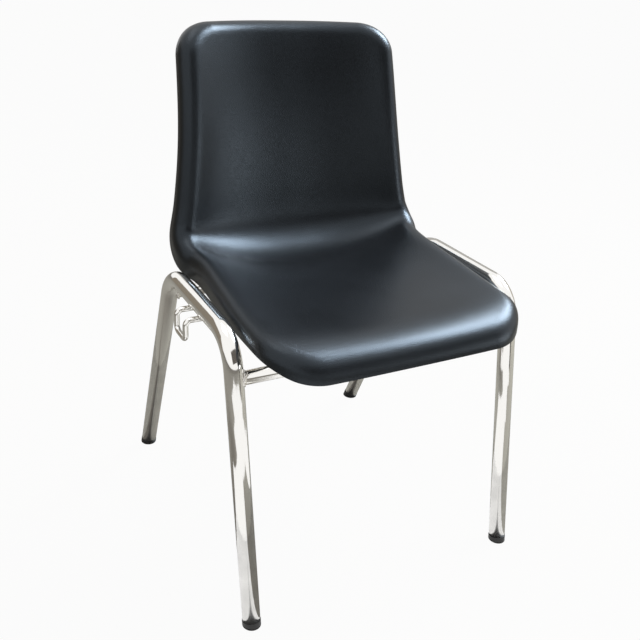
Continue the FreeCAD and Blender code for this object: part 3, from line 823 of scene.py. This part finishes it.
def area_lamp(name, place, aim, size, power, color):
    """A soft lamp at a place, turned towards another: width and height, power in watts and colour."""
    data = bpy.data.lights.new(name, "AREA")
    data.shape = "RECTANGLE"
    data.size, data.size_y = size
    data.energy = power
    data.color = color
    lamp = bpy.data.objects.new(name, data)
    lamp.location = place
    lamp.rotation_euler = (Vector(aim) - Vector(place)).to_track_quat("-Z", "Y").to_euler()
    bpy.context.scene.collection.objects.link(lamp)


# The photograph's view: focal length in pixels of the 640-pixel frame, and where it is taken from
FRAME_PIXELS = 640.0
FOCAL_PIXELS = 806.0
CAMERA_AZIMUTH = math.radians(-29.1)
CAMERA_ELEVATION = math.radians(25.4)
CAMERA_ROLL = math.radians(3.6)
CAMERA_DISTANCE = 1.2673
CAMERA_TARGET = Vector((-0.0068, 0.0, 0.3331))
FRAME_CENTRE = (318.0, 315.0)


def photograph_camera():
    back = Vector((math.sin(CAMERA_AZIMUTH) * math.cos(CAMERA_ELEVATION),
                   -math.cos(CAMERA_AZIMUTH) * math.cos(CAMERA_ELEVATION),
                   math.sin(CAMERA_ELEVATION)))
    right = (-back).cross(Vector((0, 0, 1))).normalized()
    up = right.cross(-back)
    turned_right = right * math.cos(CAMERA_ROLL) + up * math.sin(CAMERA_ROLL)
    turned_up = up * math.cos(CAMERA_ROLL) - right * math.sin(CAMERA_ROLL)
    data = bpy.data.cameras.new("photograph_camera")
    data.sensor_fit = "HORIZONTAL"
    data.sensor_width = 36.0
    data.lens = FOCAL_PIXELS / FRAME_PIXELS * data.sensor_width
    data.shift_x = (FRAME_PIXELS / 2 - FRAME_CENTRE[0]) / FRAME_PIXELS
    data.shift_y = (FRAME_CENTRE[1] - FRAME_PIXELS / 2) / FRAME_PIXELS
    camera = bpy.data.objects.new("photograph_camera", data)
    axes = Matrix((turned_right, turned_up, back)).transposed()
    camera.matrix_world = Matrix.Translation(CAMERA_TARGET + back * CAMERA_DISTANCE) @ axes.to_4x4()
    bpy.context.scene.collection.objects.link(camera)
    bpy.context.scene.camera = camera


def mirrored_card(name, corners, color):
    """A card of plain light or dark that only mirrored rays meet."""
    mesh = bpy.data.meshes.new(name)
    mesh.from_pydata(corners, [], [(0, 1, 2, 3)])
    material, nodes, links, shader = node_material(name)
    nodes.remove(shader)
    glow = nodes.new("ShaderNodeEmission")
    glow.inputs["Color"].default_value = color
    glow.inputs["Strength"].default_value = 1.0
    links.new(glow.outputs["Emission"], nodes["Material Output"].inputs["Surface"])
    mesh.materials.append(material)
    card = bpy.data.objects.new(name, mesh)
    card.visible_camera = False
    card.visible_diffuse = False
    card.visible_transmission = False
    card.visible_shadow = False
    bpy.context.scene.collection.objects.link(card)
    return card


def reflection_card(name, place, aim, size, color):
    """A standing card of a width and height at a place, turned towards another: a painted reflection."""
    width, height = size
    card = mirrored_card(name, rectangle((-width / 2, -height / 2), (width / 2, height / 2), 0), color)
    card.location = place
    card.rotation_euler = (Vector(aim) - Vector(place)).to_track_quat("Z", "Y").to_euler()


def reflection_sheet(name, low, high, color):
    """A sheet that lies just over the floor, between two corners, and glows for mirrored rays only: a
    painted reflection.
    """
    mirrored_card(name, rectangle(low, high, SHEET_HEIGHT), color)


background()
floor()
photograph_camera()
area_lamp("side_softbox", (1.80, 0.20, 2.2), (0, 0, 0.4), (1.3, 0.9), 108.0, (0.78, 0.89, 1.0))
area_lamp("low_softbox", (1.25, -1.15, 0.42), (0.05, -0.2, 0.4), (0.5, 0.4), 3.0, (0.93, 0.97, 1.0))
area_lamp("top_softbox", (-0.3, 0.3, 2.8), (0, 0, 0.3), (1.4, 1.2), 8.0, (1.0, 1.0, 1.0))
# Cards that glow and that only mirrored rays meet are painted reflections. The first paints a dark streak
# down the chrome legs, and the others paint dim beige and grey surroundings into the chrome and the shell.
reflection_card("painted_dark_streak", (0.44, -0.80, 0.45), (0, 0, 0.45), (0.11, 0.9), (0.015, 0.011, 0.007, 1))
reflection_card("left_painted_reflection", (-1.9, 1.5, 0.9), (0, 0, 0.9), (2.4, 1.8), (0.24, 0.21, 0.17, 1))
reflection_card("right_painted_reflection", (2.3, 0.5, 0.5), (0, 0, 0.5), (1.2, 1.0), (0.42, 0.38, 0.32, 1))
reflection_card("back_painted_reflection", (1.1, 2.0, 1.1), (0, 0, 0.4), (2.4, 1.3), (0.45, 0.44, 0.42, 1))
reflection_card("dark_painted_reflection", (0.5, -2.4, 1.7), (0, 0, 0.8), (3.4, 1.5), (0.12, 0.11, 0.10, 1))
# White sheets under and in front of the chair: painted white reflections in the chrome legs, where mirrored
# rays would otherwise meet the beige floor.
reflection_sheet("right_foot_sheet", (-0.42, -0.40), (-0.20, -0.10), (1.0, 1.0, 1.0, 1))
reflection_sheet("left_foot_sheet", (-0.02, -0.40), (0.235, -0.10), (1.0, 1.0, 1.0, 1))
reflection_sheet("near_sheet", (-0.60, -0.62), (0.28, -0.40), (1.0, 1.0, 1.0, 1))
reflection_sheet("far_sheet", (-0.95, -1.70), (0.45, -0.62), (1.0, 1.0, 1.0, 1))

bpy.context.scene.view_settings.view_transform = "Standard"
